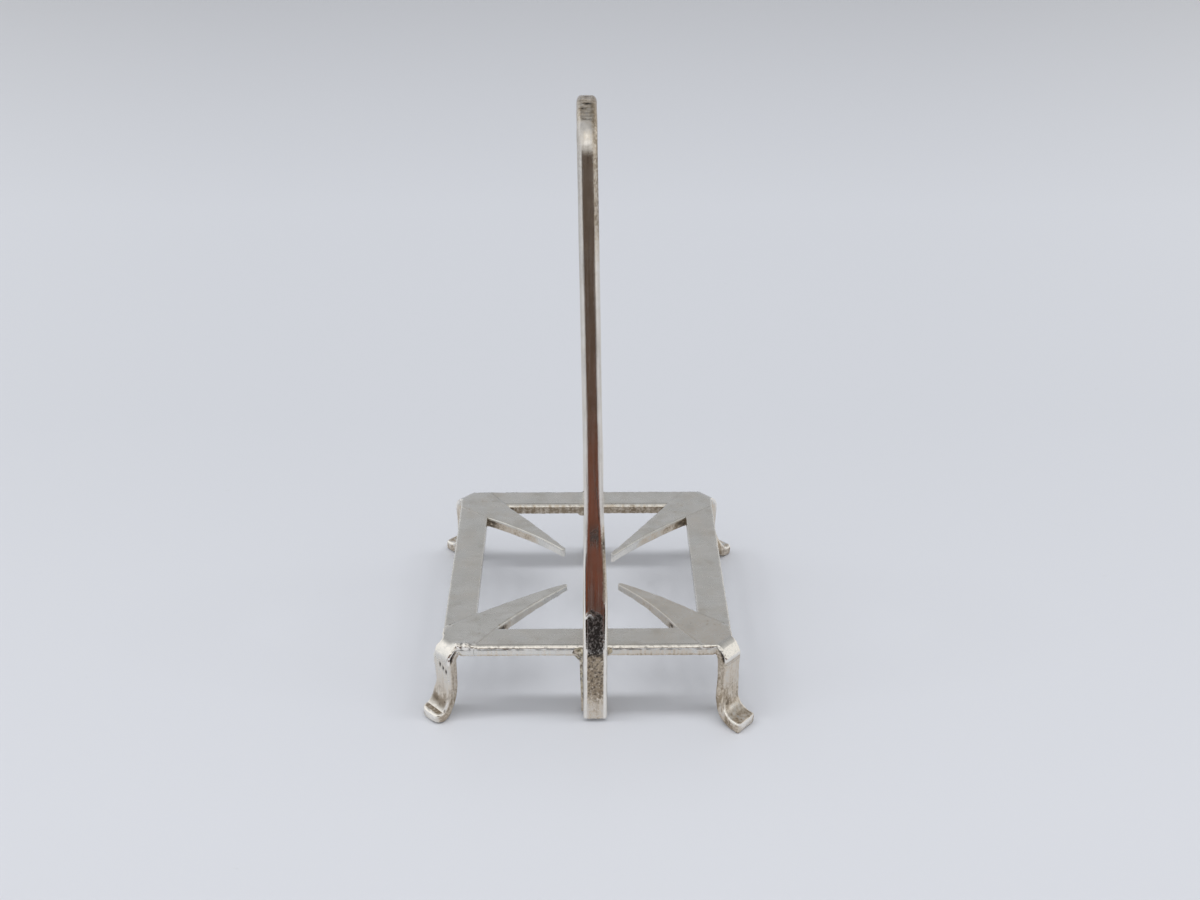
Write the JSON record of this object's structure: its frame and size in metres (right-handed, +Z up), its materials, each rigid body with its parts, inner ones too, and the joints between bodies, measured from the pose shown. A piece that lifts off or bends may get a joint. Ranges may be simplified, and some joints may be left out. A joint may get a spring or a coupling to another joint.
{
  "type": "hanging trivet",
  "caption": "Miniature hanging trivet in silver: square frame of flat rails, pointed corner arms, bent legs and a tall hoop handle.",
  "frame": {"origin": "on the surface the feet stand on, under the middle of the square frame", "axes": "+Z up, -Y the front with the hoop's near end, +X to the right, the hoop stands in the plane across X"},
  "size_m": [0.0358, 0.0365, 0.0613],
  "materials": {
    "worn_silver": "hand-filed silver, finely scratched",
    "bright_silver": "polished silver with lengthwise scratches",
    "tarnished_silver": "silver with a brownish tarnish",
    "dull_solder": "dull, pitted silver solder"
  },
  "bodies": {
    "root": {"front_rail": "worn_silver", "right_rail": "worn_silver", "rear_rail": "worn_silver", "left_rail": "worn_silver", "front_left_leg": "worn_silver", "front_right_leg": "worn_silver", "rear_right_leg": "worn_silver", "rear_left_leg": "worn_silver", "hoop_handle": "bright_silver", "front_lug": "tarnished_silver", "rear_lug": "tarnished_silver", "front_left_solder": "dull_solder", "front_right_solder": "dull_solder", "rear_left_solder": "dull_solder", "rear_right_solder": "dull_solder"}
  },
  "joints": []
}
